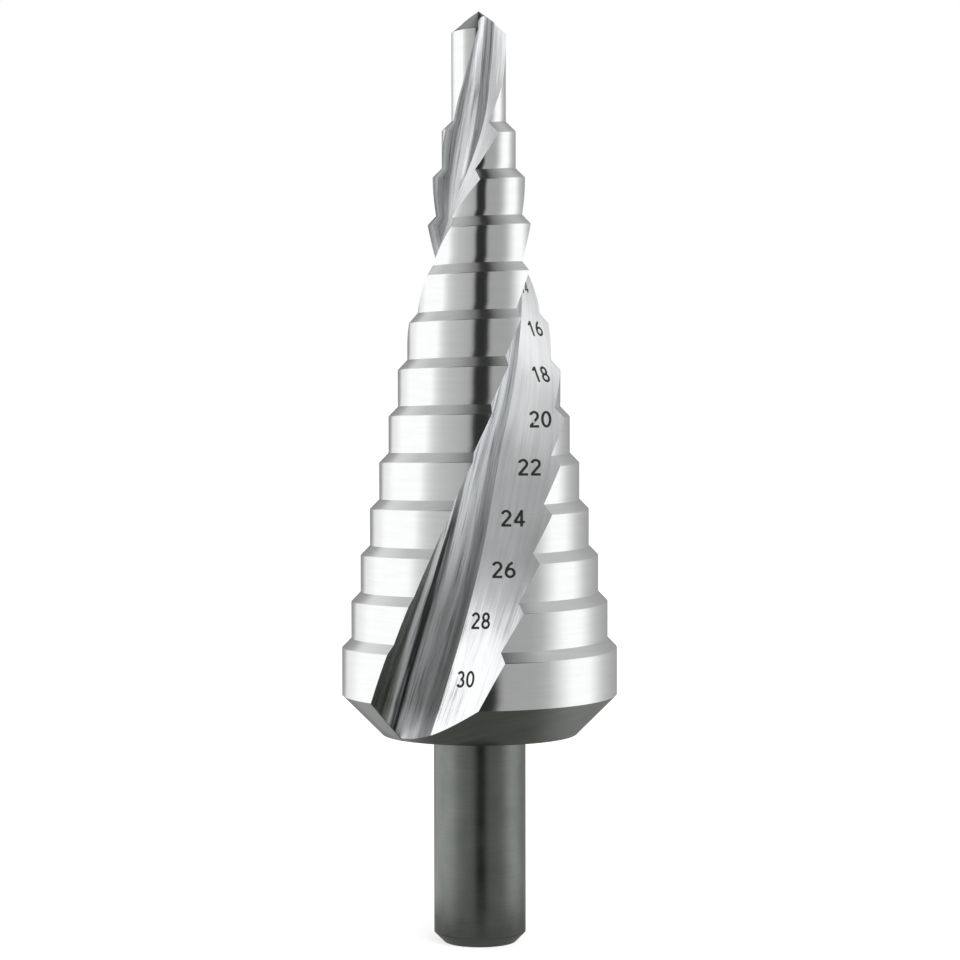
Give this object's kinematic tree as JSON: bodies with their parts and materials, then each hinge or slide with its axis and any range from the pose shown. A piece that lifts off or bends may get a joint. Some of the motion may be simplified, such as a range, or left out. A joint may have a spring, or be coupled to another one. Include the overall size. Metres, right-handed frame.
{
  "type": "step drill",
  "caption": "Conical step drill in one piece of steel, with spiral flutes, a drill point, a back cone and a round straight shank.",
  "frame": {"origin": "middle of the flat end of the shank", "axes": "+Z along the axis from the shank's end to the drill point; -Y towards the side that shows the size numbers; +X to the right of that side"},
  "size_m": [0.03, 0.0294, 0.1011],
  "materials": {
    "steel": "ground, with a dull dark shank and back cone"
  },
  "bodies": {
    "root": {"step_drill": "steel"}
  },
  "joints": []
}
